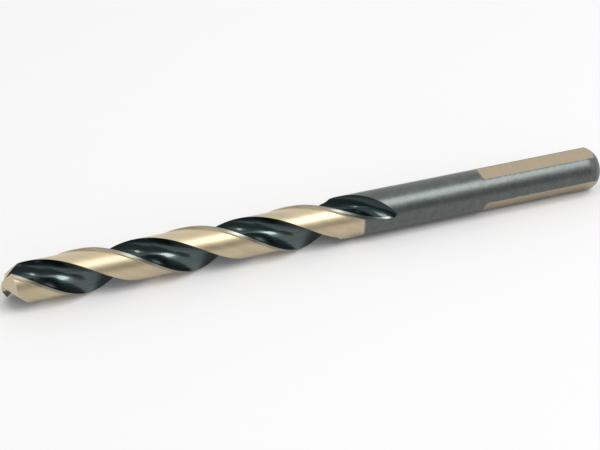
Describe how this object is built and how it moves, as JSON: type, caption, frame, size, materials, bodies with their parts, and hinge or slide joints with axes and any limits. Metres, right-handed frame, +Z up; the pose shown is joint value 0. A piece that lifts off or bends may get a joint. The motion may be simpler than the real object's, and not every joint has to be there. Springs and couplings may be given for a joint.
{
  "type": "twist drill bit",
  "caption": "Straight-shank steel twist drill bit with helical flutes, relieved lands behind narrow margins, a split point and flats on the shank.",
  "frame": {"origin": "on the surface that the bit lies on, below the middle of its length", "axes": "+X along the bit's axis from the point to the shank's end, +Z up, square to one flat of the shank"},
  "size_m": [0.117, 0.008, 0.008],
  "materials": {
    "tool_steel": "ground high-speed steel: black oxide in the flutes and on the shank, straw gold on the lands, point and flats"
  },
  "bodies": {
    "root": {"drill_bit": "tool_steel"}
  },
  "joints": []
}
